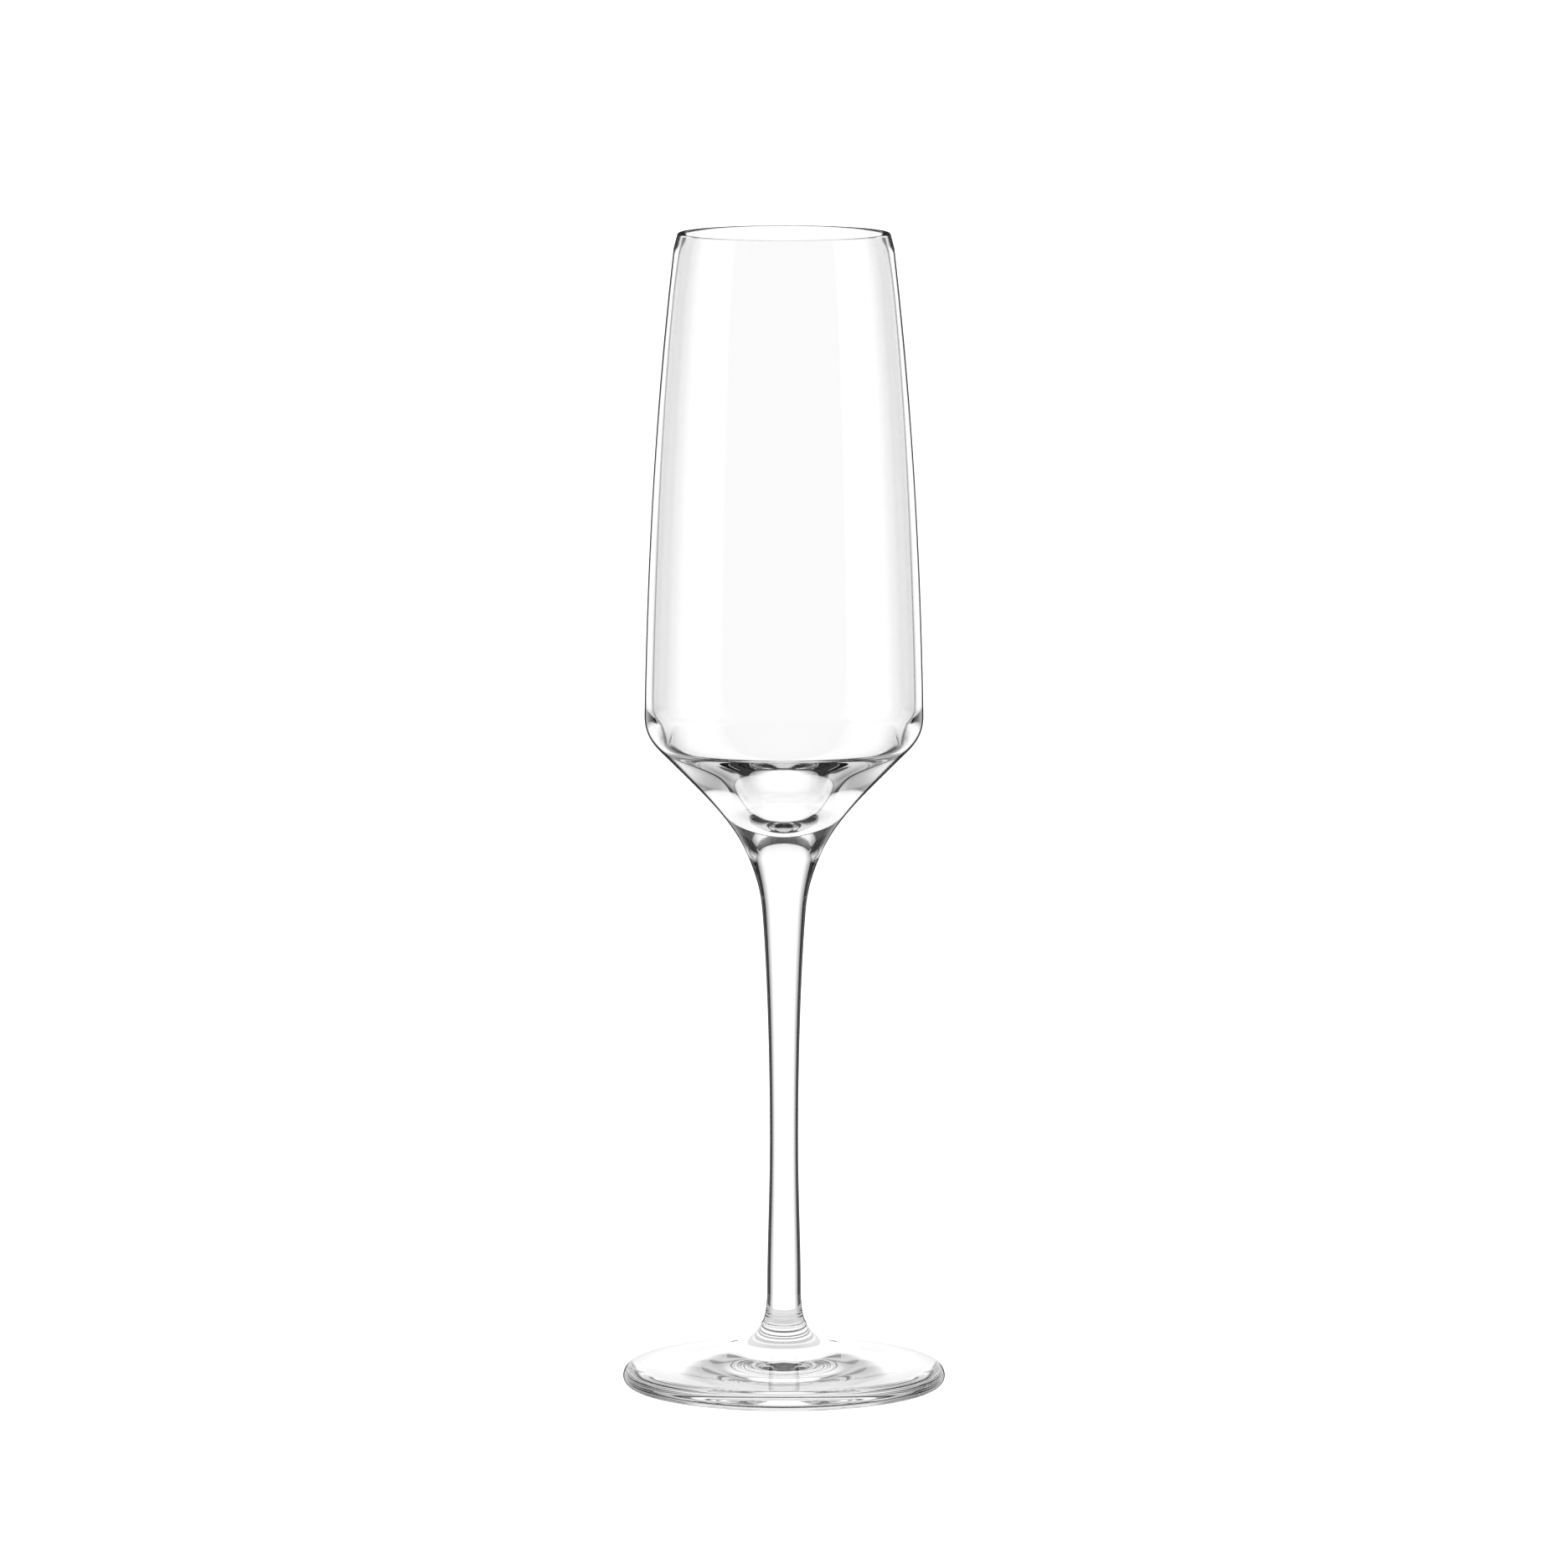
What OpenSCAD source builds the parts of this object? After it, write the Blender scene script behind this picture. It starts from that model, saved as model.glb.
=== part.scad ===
// Champagne flute: a blown bowl, a solid stem and a wide foot, welded hot to one another.
// Units are millimetres. The glass stands on z = 0 and its axis is the Z axis.
// Every piece is turned about the axis from an outline of [radius, height] points.

/* [Bowl] */
// Outer diameter of the bowl where its lip begins
rim_d = 43.5; // [34:0.5:50]
// Outer diameter at the top of the lip, where it rounds over
lip_d = 42.2; // [33:0.1:49]
// Outer diameter of the bowl at its belly, the widest level
belly_d = 55.3; // [46:0.1:70]
// Height of the side wall, from the belly up to the top of the lip
side_h = 95.8; // [60:0.1:140]
// Height of the tapered base, from the neck weld up to the belly
base_h = 28.3; // [22:0.1:45]
// Height of the lip that tapers in
lip_h = 3; // [1:0.1:6]
// Thickness of the lip at its top
lip_wall = 1.03; // [0.7:0.01:2]
// Wall thickness where the lip begins
rim_wall = 1.15; // [0.8:0.05:2.5]
// Wall thickness at the belly
belly_wall = 1.5; // [0.8:0.05:3]
// Wall thickness at the shoulder, square to the tapered base
shoulder_wall = 1.8; // [1.2:0.1:3]
// Thickness of solid glass between the neck weld and the bottom of the cavity
floor_t = 6.6; // [4:0.1:9]
// Diameter of the cavity where its rounded bottom ends
cup_d = 18.4; // [12:0.1:20]
// Height of the rounded bottom of the cavity
cup_h = 5.3; // [3:0.1:7]

/* [Stem] */
// Length of the stem, from the foot weld to the neck weld
stem_len = 93.6; // [50:0.1:140]
// Diameter of the stem at the neck weld, where the bowl sits on it
neck_d = 14.06; // [9:0.02:18]
// Diameter of the stem where the flare under the bowl begins
flare_d = 8.6; // [6.8:0.1:9]
// Diameter at the waist, the thinnest level
waist_d = 5.66; // [4.5:0.02:6.6]
// Diameter of the slight swelling above the foot
swell_d = 6.68; // [5.6:0.02:7.6]
// Diameter of the stem at the foot weld
ankle_d = 8.9; // [7.7:0.1:11]
// Height of the flare under the bowl
flare_h = 10.9; // [6:0.1:18]
// Height of the waist above the foot weld
waist_h = 37.7; // [22:0.1:45]
// Height of the swelling above the foot weld
swell_h = 7.2; // [4:0.1:14]

/* [Foot] */
// Diameter of the foot
foot_d = 64.25; // [52:0.1:80]
// Height of the foot, from the table to its weld with the stem
foot_h = 12.3; // [10:0.1:18]
// Thickness of the foot at its round edge
edge_t = 4; // [2:0.1:4.5]
// Radius of the rounding under the edge
under_r = 1.65; // [0.5:0.05:1.8]
// Width of the rounding over the edge
over_w = 2.1; // [1:0.1:4]
// Width of the flat ring that the glass stands on
ring_w = 2.2; // [1:0.1:4]
// How far the underside is hollowed up at the centre
hollow_h = 1.9; // [0.5:0.1:3]

/* [Smoothness] */
// Straight steps along each curved stretch of an outline
steps = 14; // [6:1:24]
// Facets round the axis, for the preview only
facets = 96; // [48:4:180]

/* [Hidden] */

neck_r = neck_d / 2;
ankle_r = ankle_d / 2;
neck_z = foot_h + stem_len;
belly_z = neck_z + base_h;
rim_z = belly_z + side_h;

// The angle at which bowl and stem both run through the neck weld, above the outward horizontal.
flare_angle = 67.7;

// A cubic curve from a to d, which leaves a towards b and reaches d from c.
// Its first point is left out, because the stretch before it ends there.
function curve(a, b, c, d) = [
    for (i = [1:steps])
        let (t = i / steps, s = 1 - t)
        s * s * s * a + 3 * s * s * t * b + 3 * s * t * t * c + t * t * t * d
];

// A point a given distance from another, at an angle above the outward horizontal.
function from(p, angle, distance) = p + distance * [cos(angle), sin(angle)];

module turned(outline) {
    color("azure", 0.35) rotate_extrude($fn = facets) polygon(outline);
}

// The bowl: thin side wall, rounded belly and a thick tapered base that ends in the neck weld.
module bowl() {
    cone_angle = 45;
    shoulder_in = 2.9;
    shoulder_drop = 6.7;
    // The wall leans in by these shares of its height, just above the belly and at the lip.
    belly_lean = 0.017;
    lip_lean = 0.118;
    wall_third = side_h / 3;
    lip_round = lip_wall / 2;

    neck = [neck_r, neck_z];
    shoulder = [belly_d / 2 - shoulder_in, belly_z - shoulder_drop];
    belly = [belly_d / 2, belly_z];
    lip_foot = [rim_d / 2, rim_z - lip_h];
    lip_out = [lip_d / 2, rim_z - lip_round];
    lip_in = lip_out - [lip_wall, 0];
    lip_top = [lip_out[0] - lip_round, rim_z];

    inner_lip_foot = lip_foot - [rim_wall, 0];
    inner_belly = [belly_d / 2 - belly_wall, belly_z + 2];
    inner_shoulder = from(shoulder, 180 - cone_angle, shoulder_wall);
    cup_floor = [0, neck_z + floor_t];
    cup = [cup_d / 2, cup_floor[1] + cup_h];
    // The inner wall leaves the shoulder flatter than the outer one, so the base thickens downwards.
    thickening_angle = 21;

    taper = curve(neck, from(neck, flare_angle, base_h * 0.283),
                  from(shoulder, 180 + cone_angle, base_h * 0.466), shoulder);
    outer_belly = curve(shoulder, from(shoulder, cone_angle, shoulder_drop * 0.39),
                        belly - [0, shoulder_drop * 0.43], belly);
    outer_wall = curve(belly, belly + wall_third * [-belly_lean, 1],
                       lip_foot + wall_third * [lip_lean, -1], lip_foot);
    lip = concat(
        curve(lip_foot, lip_foot, lip_out, lip_out),
        curve(lip_out, lip_out + lip_round * [-0.2, 0.7], lip_top + lip_round * [0.6, 0], lip_top),
        curve(lip_top, lip_top - lip_round * [0.6, 0], lip_in + lip_round * [0.2, 0.7], lip_in),
        curve(lip_in, lip_in, inner_lip_foot, inner_lip_foot)
    );
    inner_wall = curve(inner_lip_foot, inner_lip_foot + wall_third / 2 * [lip_lean * 1.6, -1],
                       inner_belly + wall_third * [-belly_lean, 1], inner_belly);
    inner_round = curve(inner_belly, inner_belly - [0, shoulder_drop * 0.45],
                        from(inner_shoulder, cone_angle, shoulder_drop * 0.3), inner_shoulder);
    cavity = concat(
        curve(inner_shoulder, from(inner_shoulder, 180 + thickening_angle, base_h * 0.155),
              from(cup, cone_angle, cup_h * 0.75), cup),
        curve(cup, from(cup, 180 + cone_angle, cup_h * 0.57), cup_floor + [cup_d * 0.19, 0], cup_floor)
    );
    turned(concat([[0, neck_z], neck], taper, outer_belly, outer_wall, lip, inner_wall, inner_round,
                  cavity));
}

// The stem: a solid rod with a waist, drawn out into a flare under the bowl and an ankle on the foot.
module stem() {
    ankle = [ankle_r, foot_h];
    swell = [swell_d / 2, foot_h + swell_h];
    waist = [waist_d / 2, foot_h + waist_h];
    flare = [flare_d / 2, neck_z - flare_h];
    neck = [neck_r, neck_z];
    // The surface tapers in above the foot weld and spreads again below the bowl.
    ankle_angle = 128;
    flare_lean = 0.08;
    upper = flare[1] - waist[1];
    turned(concat(
        [[0, foot_h], ankle],
        curve(ankle, from(ankle, ankle_angle, swell_h * 0.183), swell - [0, swell_h * 0.417], swell),
        curve(swell, swell + [0, waist_h / 4], waist - [0, waist_h / 3], waist),
        curve(waist, waist + [0, upper * 0.355], flare - upper * 0.244 * [flare_lean, 1], flare),
        curve(flare, flare + flare_h * 0.3 * [flare_lean, 1], from(neck, 180 + flare_angle, flare_h * 0.468),
              neck),
        [[0, neck_z]]
    ));
}

// The foot: a wide disc with a round edge, a hollow under it and a trumpet that rises to the stem.
module foot() {
    foot_r = foot_d / 2;
    top_slope = 7;
    trumpet_angle = -71;
    ring_outer = foot_r - under_r;
    ring_inner = ring_outer - ring_w;
    edge = [foot_r, under_r];
    edge_top = [foot_r - over_w, edge_t];
    ankle = [ankle_r, foot_h];
    // The hollow is a shallow spherical cap, from the inner edge of the ring to the axis.
    cap_r = (ring_inner * ring_inner + hollow_h * hollow_h) / (2 * hollow_h);
    underside = [
        for (i = [0:steps])
            let (r = ring_inner * i / steps)
            [r, hollow_h - cap_r + sqrt(cap_r * cap_r - r * r)]
    ];
    under = [
        for (i = [0:steps])
            from([ring_outer, under_r], -90 + 90 * i / steps, under_r)
    ];
    over = curve(edge, edge + [0, (edge_t - under_r) / 2], from(edge_top, -top_slope, over_w / 2),
                 edge_top);
    top = curve(edge_top, from(edge_top, 180 - top_slope, (edge_top[0] - ankle_r) * 0.735),
                from(ankle, trumpet_angle, (foot_h - edge_t) * 0.49), ankle);
    turned(concat(underside, under, over, top, [[0, foot_h]]));
}

bowl();
stem();
foot();
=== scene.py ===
import math

import bpy
import numpy as np
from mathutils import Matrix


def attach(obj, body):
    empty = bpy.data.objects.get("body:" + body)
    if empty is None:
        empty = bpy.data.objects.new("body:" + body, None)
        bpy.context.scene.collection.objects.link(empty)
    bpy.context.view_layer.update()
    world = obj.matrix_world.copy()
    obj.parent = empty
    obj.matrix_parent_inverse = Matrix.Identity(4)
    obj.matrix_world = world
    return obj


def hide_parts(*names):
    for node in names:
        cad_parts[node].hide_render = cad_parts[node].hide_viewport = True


# A clear champagne flute on a white table: bowl, stem and foot, each turned from its own outline.
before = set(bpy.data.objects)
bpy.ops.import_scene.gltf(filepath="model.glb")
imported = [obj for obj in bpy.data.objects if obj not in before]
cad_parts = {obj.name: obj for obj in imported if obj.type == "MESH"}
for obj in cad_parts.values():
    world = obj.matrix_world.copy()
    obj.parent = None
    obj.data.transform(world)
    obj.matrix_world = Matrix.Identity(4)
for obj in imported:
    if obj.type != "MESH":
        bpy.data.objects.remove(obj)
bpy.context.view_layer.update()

# The camera stands 2 m in front of the glass and looks down on it by a few degrees. Its long
# lens shows the lip as a slim ellipse and the foot as a wider one.
camera_place = (0, -2.00456, 0.37595)
camera_tilt_down = math.radians(7.2601)
camera_data = bpy.data.cameras.new("camera")
camera_data.sensor_width = 36
camera_data.lens = 233.97
camera_data.clip_start = 0.01
camera_data.clip_end = 50
camera = bpy.data.objects.new("camera", camera_data)
camera.location = camera_place
camera.rotation_euler = (math.pi / 2 - camera_tilt_down, 0, 0)
studio = bpy.context.scene
studio.collection.objects.link(camera)
studio.camera = camera
studio.view_settings.view_transform = "Standard"
bpy.context.view_layer.update()

# Light is turned back many times inside thick clear glass before it comes out again.
most_bounces = 48
studio.cycles.max_bounces = most_bounces
studio.cycles.glossy_bounces = most_bounces
studio.cycles.transmission_bounces = most_bounces
studio.cycles.transparent_max_bounces = most_bounces


# The studio is a ring of curved lit cards round the glass, made for clear glass on white: a wide
# backlight, a light at each side and near-black gaps between them, which draw dark lines inside
# the glass; the dark outlines are painted shade in the glass. The cards follow the camera round,
# and it doesn't see them.
class Shade:
    """A socket of a material that is being built. Sums and products of shades add Math nodes."""

    def __init__(self, tree, socket):
        self.tree = tree
        self.socket = socket

    @classmethod
    def node(cls, tree, kind, settings=None, inputs=None, output=0):
        """Adds a node, sets its settings, then fills its sockets with values or links."""
        made = tree.nodes.new(kind)
        for name, value in (settings or {}).items():
            setattr(made, name, value)
        for name, value in (inputs or {}).items():
            if isinstance(value, Shade):
                tree.links.new(value.socket, made.inputs[name])
            else:
                made.inputs[name].default_value = value
        return cls(tree, made.outputs[output]) if made.outputs else None

    def math(self, operation, *others, flip=False):
        values = [self, *others][::-1] if flip else [self, *others]
        return Shade.node(self.tree, "ShaderNodeMath", {"operation": operation},
                          dict(enumerate(values)))

    def part(self, axis):
        """The X, Y or Z part of a vector."""
        return Shade.node(self.tree, "ShaderNodeSeparateXYZ", None, {0: self}, axis)

    def eased(self, start, end, low=0.0, high=1.0):
        """Low up to start and high from end on, with a smooth step between."""
        return Shade.node(self.tree, "ShaderNodeMapRange", {"interpolation_type": "SMOOTHSTEP"},
                          {"Value": self, "From Min": start, "From Max": end,
                           "To Min": low, "To Max": high})

    def __add__(self, other):
        return self.math("ADD", other)

    def __mul__(self, other):
        return self.math("MULTIPLY", other)

    def __sub__(self, other):
        return self.math("SUBTRACT", other)

    def __rsub__(self, other):
        return self.math("SUBTRACT", other, flip=True)

    __radd__ = __add__
    __rmul__ = __mul__


def own_place(tree):
    """The coordinates that stay with a piece, in metres from its origin."""
    return Shade.node(tree, "ShaderNodeTexCoord", output="Object")


def new_material(name):
    """An empty node material, and its tree."""
    material = bpy.data.materials.new(name)
    material.use_nodes = True
    material.node_tree.nodes.clear()
    return material, material.node_tree


def finish_material(tree, shader):
    Shade.node(tree, "ShaderNodeOutputMaterial", None, {"Surface": shader})


def lit(tree, brightness, tint=(1, 1, 1, 1)):
    """A surface that gives out light by itself, white if no tint is given."""
    return Shade.node(tree, "ShaderNodeEmission", None, {"Color": tint, "Strength": brightness})


def staged(name, points, faces, material):
    """A part of the studio, which doesn't belong to the glass."""
    mesh = bpy.data.meshes.new(name)
    mesh.from_pydata(points, [], faces)
    mesh.materials.append(material)
    made = bpy.data.objects.new(name, mesh)
    studio.collection.objects.link(made)
    return made


def studio_card(name, brightness, turn, rise, turn_fade, rise_fade):
    """A patch of a sphere round the middle of the glass, between two turns from straight behind it
    and two rises above the level, in degrees. The point at turn a and rise e is (cos e * sin a,
    cos e * cos a, sin e) times the reach. A fade (start, end, share) lets the white of the card
    fall from full at the first angle to a grey of that share at the second."""
    reach = 4.0
    centre = 0.115
    material, tree = new_material(name)
    place = own_place(tree)
    turned_by = place.part("X").math("ARCTAN2", place.part("Y")).math("ABSOLUTE")
    raised_by = ((place.part("Z") - centre) * (1 / reach)).math("ARCSINE")
    across, along = (angle.eased(math.radians(start), math.radians(end), 1.0, share)
                     for angle, (start, end, share) in ((turned_by, turn_fade),
                                                        (raised_by, rise_fade)))
    finish_material(tree, lit(tree, brightness, across * along))
    columns = 49
    rows = 25
    a = np.radians(np.linspace(*turn, columns))[None, :]
    e = np.radians(np.linspace(*rise, rows))[:, None]
    x = np.cos(e) * np.sin(a)
    y = np.cos(e) * np.cos(a)
    z = np.sin(e) + 0 * a
    points = np.stack([x, y, z + centre / reach], axis=-1).reshape(-1, 3) * reach
    here = np.arange(rows * columns).reshape(rows, columns)
    faces = np.stack([here[:-1, :-1], here[:-1, 1:], here[1:, 1:], here[1:, :-1]], axis=-1)
    card = staged(name, points.tolist(), faces.reshape(-1, 4).tolist(), material)
    card.parent = camera
    card.matrix_parent_inverse = camera.matrix_world.inverted()
    card.visible_camera = False


studio_card("backlight", 1.12, (-44, 44), (-88, 55), turn_fade=(24, 44, 0.35),
            rise_fade=(45, 58, 0.3))
for side in (-1, 1):
    studio_card("side_light", 0.8, (side * 66, side * 122), (-88, 44), turn_fade=(90, 66, 0.3),
                rise_fade=(25, 44, 0.3))

# The backdrop is plain white to the camera, and nearly black to the glass between the cards.
backdrop_white = 1.4
gap_level = 0.04
world = bpy.data.worlds.new("studio")
world.use_nodes = True
studio.world = world
sky = world.node_tree
sky.nodes.clear()
seen = Shade.node(sky, "ShaderNodeLightPath", output="Is Camera Ray")
dim = Shade.node(sky, "ShaderNodeBackground", None, {"Color": (1, 1, 1, 1), "Strength": gap_level})
white = Shade.node(sky, "ShaderNodeBackground", None,
                   {"Color": (1, 1, 1, 1), "Strength": backdrop_white})
backdrop = Shade.node(sky, "ShaderNodeMixShader", None, {0: seen, 1: dim, 2: white})
Shade.node(sky, "ShaderNodeOutputWorld", None, {"Surface": backdrop})


def lit_disc(name, brightness, radius, height):
    """A round, level, evenly lit surface about the axis: points at radius * (cos a, sin a)."""
    material, tree = new_material(name)
    finish_material(tree, lit(tree, brightness))
    corners = 96
    a = np.linspace(0, 2 * np.pi, corners, endpoint=False)
    points = np.stack([radius * np.cos(a), radius * np.sin(a), np.full(corners, height)], axis=-1)
    return staged(name, points.tolist(), [list(range(corners))], material)


# The floor is a wide white disc. Only the camera sees it, so none of its light comes up through
# the foot. That light comes from a lit table hardly wider than the foot, just under the glass.
floor = lit_disc("floor", backdrop_white, radius=3.0, height=-3e-4)
floor.visible_glossy = False
floor.visible_transmission = False
floor.visible_diffuse = False
floor.visible_shadow = False
table = lit_disc("table", 0.7, radius=0.033, height=-1e-4)
table.visible_camera = False

# The bowl is clear glass, blown into a turned mould: a thin side wall, a rounded belly and a base
# that tapers and thickens to solid glass above the neck weld. The lip is cracked off and melted
# round. Its sizes are in mm, and MM makes them metres.
MM = 0.001
NECK_R = 7.03
NECK_Z = 105.9
FLARE_ANGLE = 67.7


def away(p, degrees, distance):
    """The point at a distance from p, at an angle above the outward horizontal: p plus the
    distance times (cos, sin) of the angle."""
    a = math.radians(degrees)
    return np.array(p, float) + distance * np.array([math.cos(a), math.sin(a)])


def curve(a, b, c, d, steps):
    """Points of the cubic curve from a to d that leaves a towards b and reaches d from c. With
    s = 1 - t they are s^3 a + 3 s^2 t b + 3 s t^2 c + t^3 d. The point a itself is left out."""
    t = np.linspace(0, 1, steps + 1)[1:, None]
    s = 1 - t
    a, b, c, d = (np.array(p, float) for p in (a, b, c, d))
    return s ** 3 * a + 3 * s * s * t * b + 3 * s * t * t * c + t ** 3 * d


def weld_disc(radius, height, leaving):
    """Rows of an outline from the axis to the edge of a flat weld, and one just past it at the
    angle at which the side leaves. Rows close to the edge keep the corner crisp."""
    close = 0.01
    edge = [radius, height]
    return np.array([[0, height], [radius / 2, height], [radius - close, height], edge,
                     away(edge, leaving, close)])


def turned(name, outline, columns, materials, weld_levels):
    """A closed piece turned about Z from an outline of [radius, height] rows in mm, which starts
    and ends on the axis. The point at row i and turn a is (radius i * cos a, radius i * sin a,
    height i). Faces at a weld level, inside the glass, take the second material."""
    turns = np.linspace(0, 2 * np.pi, columns, endpoint=False)
    r = outline[1:-1, :1] * MM
    z = outline[1:-1, 1:] * MM
    rows = np.stack([r * np.cos(turns), r * np.sin(turns), z + 0 * turns], axis=-1)
    poles = [[0, 0, outline[0, 1] * MM], [0, 0, outline[-1, 1] * MM]]
    points = np.concatenate([rows.reshape(-1, 3), poles])
    here = np.arange(r.size * columns).reshape(r.size, columns)
    ahead = np.roll(here, -1, axis=1)
    start_pole = np.full(columns, here.size)
    end_pole = start_pole + 1
    first = np.stack([start_pole, ahead[0], here[0]], axis=-1)
    quads = np.stack([here[:-1], ahead[:-1], ahead[1:], here[1:]], axis=-1).reshape(-1, 4)
    last = np.stack([end_pole, here[-1], ahead[-1]], axis=-1)
    mesh = bpy.data.meshes.new(name)
    mesh.from_pydata(points.tolist(), [], first.tolist() + quads.tolist() + last.tolist())
    for material in materials:
        mesh.materials.append(material)
    at_weld = np.isclose(outline[:, 1:], weld_levels, rtol=0, atol=1e-4)
    in_weld = np.repeat((at_weld[:-1] & at_weld[1:]).any(axis=1), columns)
    mesh.polygons.foreach_set("material_index", in_weld.astype(int))
    mesh.polygons.foreach_set("use_smooth", ~in_weld)
    mesh.update()
    piece = bpy.data.objects.new(name, mesh)
    studio.collection.objects.link(piece)
    return piece


def ripples(tree, stretch, rings):
    """Soft noise between 0 and 1 on the piece's own coordinates times stretch or, for rings, on
    the distance from the axis and the height only."""
    place = own_place(tree)
    if rings:
        flat = Shade.node(tree, "ShaderNodeVectorMath", {"operation": "MULTIPLY"},
                          {0: place, 1: (1, 1, 0)})
        out = Shade.node(tree, "ShaderNodeVectorMath", {"operation": "LENGTH"}, {0: flat}, "Value")
        place = Shade.node(tree, "ShaderNodeCombineXYZ", None, {0: out, 2: place.part("Z")})
    stretched = Shade.node(tree, "ShaderNodeVectorMath", {"operation": "MULTIPLY"},
                           {0: place, 1: stretch})
    return Shade.node(tree, "ShaderNodeTexNoise", None,
                      {"Vector": stretched, "Scale": 1.0, "Detail": 1.0, "Roughness": 0.4})


def clear_glass(name, edge, full, ripple_depth, stretch, rings=False, wider=()):
    """Clear glass of index 1.5, with ripples of a depth in metres left in it from its making.
    Where its surface turns away, below the cosine edge, a near-black surface is mixed in as
    painted shade, almost wholly below that cosine times full. That paints a thin dark line along
    each outline.
    Each wider (extra, start, end) adds to edge from the height start to the height end, in mm."""
    material, tree = new_material(name)
    height = own_place(tree).part("Z")
    for extra, start, end in wider:
        edge = edge + extra * height.eased(start * MM, end * MM)
    turned_away = Shade.node(tree, "ShaderNodeLayerWeight", None, {"Blend": 0.5}, "Facing")
    most_dark = 0.95
    dark = turned_away.eased(1 - edge, 1 - full * edge, high=most_dark)
    wavy = Shade.node(tree, "ShaderNodeBump", None, {
        "Strength": 1.0, "Distance": ripple_depth, "Height": ripples(tree, stretch, rings)})
    clear = Shade.node(tree, "ShaderNodeBsdfPrincipled", None, {
        "Base Color": (1, 1, 1, 1), "Roughness": 0.0, "IOR": 1.5, "Transmission Weight": 1.0,
        "Normal": wavy})
    # Painted shade: a near-black surface mixed into the glass where it turns away, for the dark
    # outlines.
    painted_outline_shade = Shade.node(tree, "ShaderNodeBsdfPrincipled", None, {
        "Base Color": (0.01, 0.01, 0.01, 1), "Roughness": 0.6, "Specular IOR Level": 0.0})
    finish_material(tree, Shade.node(tree, "ShaderNodeMixShader", None,
                                     {0: dark, 1: clear, 2: painted_outline_shade}))
    return material


def melted_face(name):
    """A face inside a weld. The glass is one mass there, so light goes straight on."""
    material, tree = new_material(name)
    finish_material(tree, Shade.node(tree, "ShaderNodeBsdfTransparent", None,
                                     {"Color": (1, 1, 1, 1)}))
    return material


weld_face = melted_face("weld_face")
# The bowl's painted dark outline is widened on the base below the belly, on the upper wall and
# most at the lip.
bowl_glass = clear_glass("bowl_glass", edge=0.17, full=0.7, ripple_depth=4e-6,
                         stretch=(70, 70, 25),
                         wider=[(0.05, 136, 126), (0.03, 180, 220), (0.12, 226, 228)])
rim_r = 43.5 / 2
rim_z = 230.0
rim_wall = 1.15
lip_h = 3.0
lip_tuck = 0.65
lip_round = 0.5
lip_wall = 1.03
belly_r = 55.3 / 2
belly_z = 134.2
belly_wall = 1.5
belly_lean = 0.55
shoulder_in = 2.9
shoulder_drop = 6.7
shoulder_wall = 1.8
taper_angle = 45
thickening_angle = 21
floor_t = 6.6
cup_r = 9.2
cup_h = 5.3

# Each name that ends in low or high says how far a curve runs on from its lower or upper end
# before it bends. The last number in a curve is the count of its steps.
lip_lean = 0.118
inner_lip_lean = 0.19
taper_low = 8.0
taper_high = 13.2
round_low = 2.6
round_high = 2.9
inner_round_low = 2
inner_round_high = 3
cavity_low = 4
cavity_high = 4.4
cup_low = 3.5
cup_high = 3
lip_side = np.array([0.1, -0.35])
lip_flat = np.array([0.3, 0])
wall_third = (rim_z - belly_z) / 3
lip_reach = (rim_z - belly_z) / 3.2
neck = [NECK_R, NECK_Z]
shoulder = [belly_r - shoulder_in, belly_z - shoulder_drop]
belly = np.array([belly_r, belly_z])
lip_foot = np.array([rim_r, rim_z - lip_h])
lip_out = np.array([rim_r - lip_tuck, rim_z - lip_round])
lip_in = lip_out - [lip_wall, 0]
lip_middle = np.array([lip_out[0] - lip_wall / 2, rim_z])
inner_lip_foot = lip_foot - [rim_wall, 0]
inner_belly = np.array([belly_r - belly_wall, belly_z + 2])
inner_shoulder = away(shoulder, 180 - taper_angle, shoulder_wall)
cup_floor = [0, NECK_Z + floor_t]
cup_edge = [cup_r, cup_floor[1] + cup_h]
bowl_outline = np.concatenate([
    weld_disc(NECK_R, NECK_Z, FLARE_ANGLE),
    curve(neck, away(neck, FLARE_ANGLE, taper_low), away(shoulder, 180 + taper_angle, taper_high),
          shoulder, 44),
    curve(shoulder, away(shoulder, taper_angle, round_low), belly - [0, round_high], belly, 22),
    curve(belly, belly + [-belly_lean, wall_third],
          lip_foot + [lip_lean * lip_reach, -lip_reach], lip_foot, 40),
    curve(lip_foot, lip_foot, lip_out, lip_out, 6),
    curve(lip_out, lip_out - lip_side, lip_middle + lip_flat, lip_middle, 8),
    curve(lip_middle, lip_middle - lip_flat, lip_in + lip_side * [1, -1], lip_in, 8),
    curve(lip_in, lip_in, inner_lip_foot, inner_lip_foot, 6),
    curve(inner_lip_foot, inner_lip_foot + [inner_lip_lean * lip_reach / 2, -lip_reach / 2],
          inner_belly + [-belly_lean, wall_third], inner_belly, 40),
    curve(inner_belly, inner_belly - [0, inner_round_high],
          away(inner_shoulder, taper_angle, inner_round_low), inner_shoulder, 22),
    curve(inner_shoulder, away(inner_shoulder, 180 + thickening_angle, cavity_high),
          away(cup_edge, taper_angle, cavity_low), cup_edge, 30),
    curve(cup_edge, away(cup_edge, 180 + taper_angle, cup_high), [cup_low, cup_floor[1]],
          cup_floor, 24),
])
bowl = turned("bowl_glass_piece", bowl_outline, columns=320, materials=[bowl_glass, weld_face],
              weld_levels=[NECK_Z])
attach(bowl, "root")
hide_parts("bowl")

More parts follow.
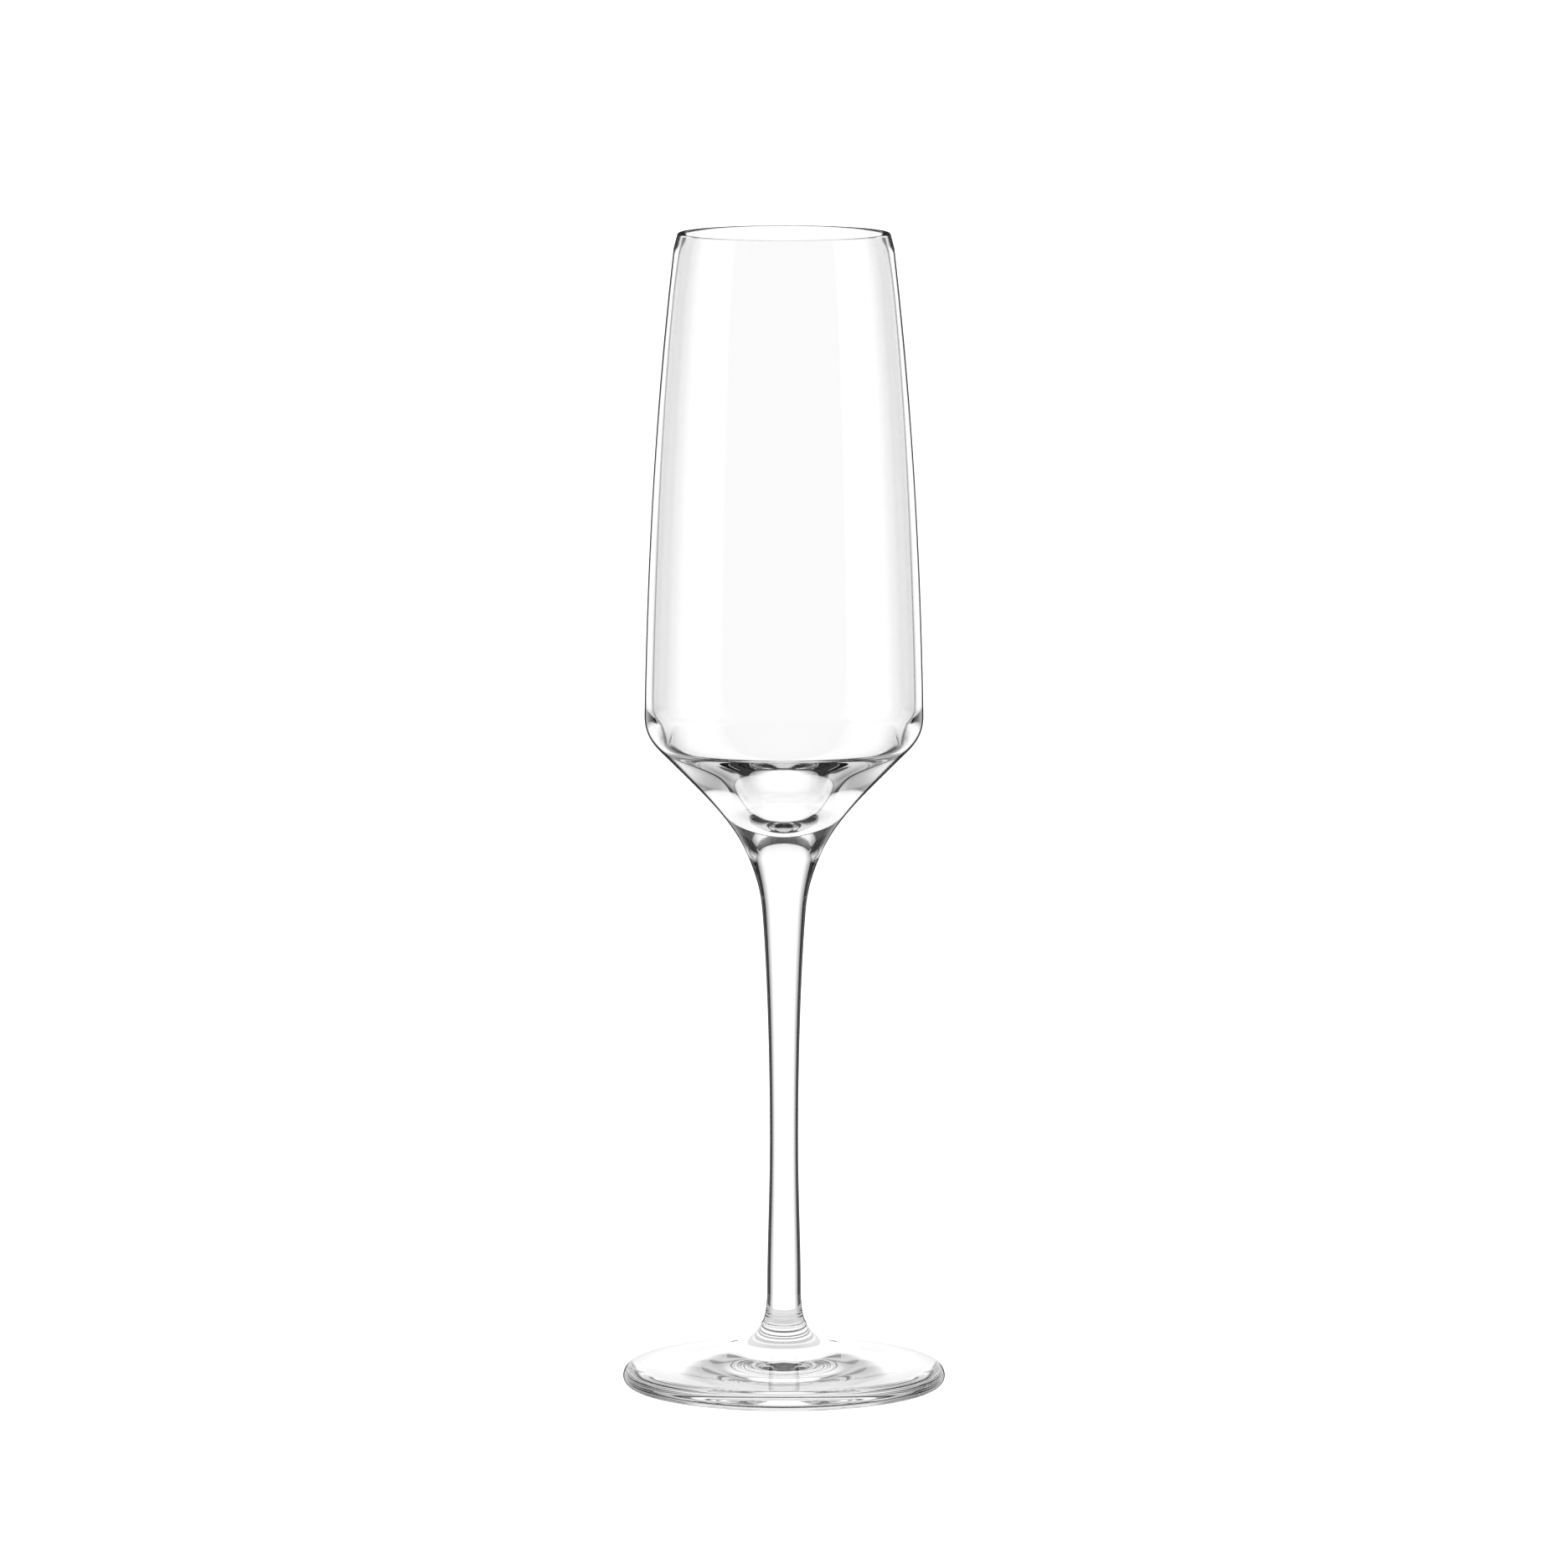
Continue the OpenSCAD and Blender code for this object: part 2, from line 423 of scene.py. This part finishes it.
# The stem is a solid rod of clear glass, drawn out while hot: it swells just above the foot,
# thins to a waist and flares again into the base of the bowl. Both its ends are welds.
FOOT_Z = 12.3
ANKLE_R = 4.45
# The stem's glass has a broader painted dark outline than the bowl's.
stem_glass = clear_glass("stem_glass", edge=0.38, full=0.5, ripple_depth=2e-6,
                         stretch=(400, 400, 30))
ankle_angle = 128
ankle_reach = 1.32
swell_h = 7.2
waist_h = 37.7
flare_h = 10.9
flare_reach = 3.27
flare_lean = 0.08
neck_reach = 5.1
swell_reach = 3
waist_reach = 16
flare_pull = [0.9, 11]
ankle = [ANKLE_R, FOOT_Z]
swell = np.array([6.68 / 2, FOOT_Z + swell_h])
waist = np.array([5.66 / 2, FOOT_Z + waist_h])
flare = np.array([8.6 / 2, NECK_Z - flare_h])
stem_outline = np.concatenate([
    weld_disc(ANKLE_R, FOOT_Z, ankle_angle),
    curve(ankle, away(ankle, ankle_angle, ankle_reach), swell - [0, swell_reach], swell, 24),
    curve(swell, swell + [0, waist_h / 4], waist - [0, waist_h / 3], waist, 30),
    curve(waist, waist + [0, waist_reach], flare - flare_pull, flare, 40),
    curve(flare, flare + [flare_lean * flare_reach, flare_reach],
          away(neck, 180 + FLARE_ANGLE, neck_reach), neck, 30)[:-1],
    weld_disc(NECK_R, NECK_Z, 180 + FLARE_ANGLE)[::-1],
])
stem = turned("stem_glass_piece", stem_outline, columns=256, materials=[stem_glass, weld_face],
              weld_levels=[FOOT_Z, NECK_Z])
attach(stem, "root")
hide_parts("stem")

# The foot is a wide disc of pressed glass with a round edge, welded to the stem. A shallow hollow
# underneath leaves the ring that it stands on, and a small trumpet on top rises to the stem.
# The foot's painted dark outline is thin, and widened low on its round edge.
foot_glass = clear_glass("foot_glass", edge=0.03, full=0.5, ripple_depth=3e-6,
                         stretch=(300, 300, 300), rings=True, wider=[(0.15, 3.9, 3.2)])
foot_r = 64.25 / 2
edge_t = 4.0
under_r = 1.65
over_w = 2.1
ring_w = 2.2
hollow_h = 1.9
top_slope = 7
top_reach = 18.8
trumpet_angle = -71
trumpet_reach = 4.07
ring_outer = foot_r - under_r
ring_inner = ring_outer - ring_w
hollow_ball = (ring_inner ** 2 + hollow_h ** 2) / (2 * hollow_h)
edge_side = np.array([foot_r, under_r])
edge_top = [foot_r - over_w, edge_t]
hollow_r = np.linspace(0, ring_inner, 40)
hollow_z = hollow_h - hollow_ball + np.sqrt(hollow_ball ** 2 - hollow_r ** 2)
rolled = np.radians(np.linspace(-90, 0, 16))
foot_outline = np.concatenate([
    np.stack([hollow_r, hollow_z], axis=-1),
    np.stack([ring_outer + under_r * np.cos(rolled), under_r + under_r * np.sin(rolled)], axis=-1),
    curve(edge_side, edge_side + [0, (edge_t - under_r) / 2],
          away(edge_top, -top_slope, over_w / 2), edge_top, 16),
    curve(edge_top, away(edge_top, 180 - top_slope, top_reach),
          away(ankle, trumpet_angle, trumpet_reach), ankle, 60)[:-1],
    weld_disc(ANKLE_R, FOOT_Z, trumpet_angle)[::-1],
])
foot = turned("foot_glass_piece", foot_outline, columns=360, materials=[foot_glass, weld_face],
              weld_levels=[FOOT_Z])
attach(foot, "root")
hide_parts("foot")
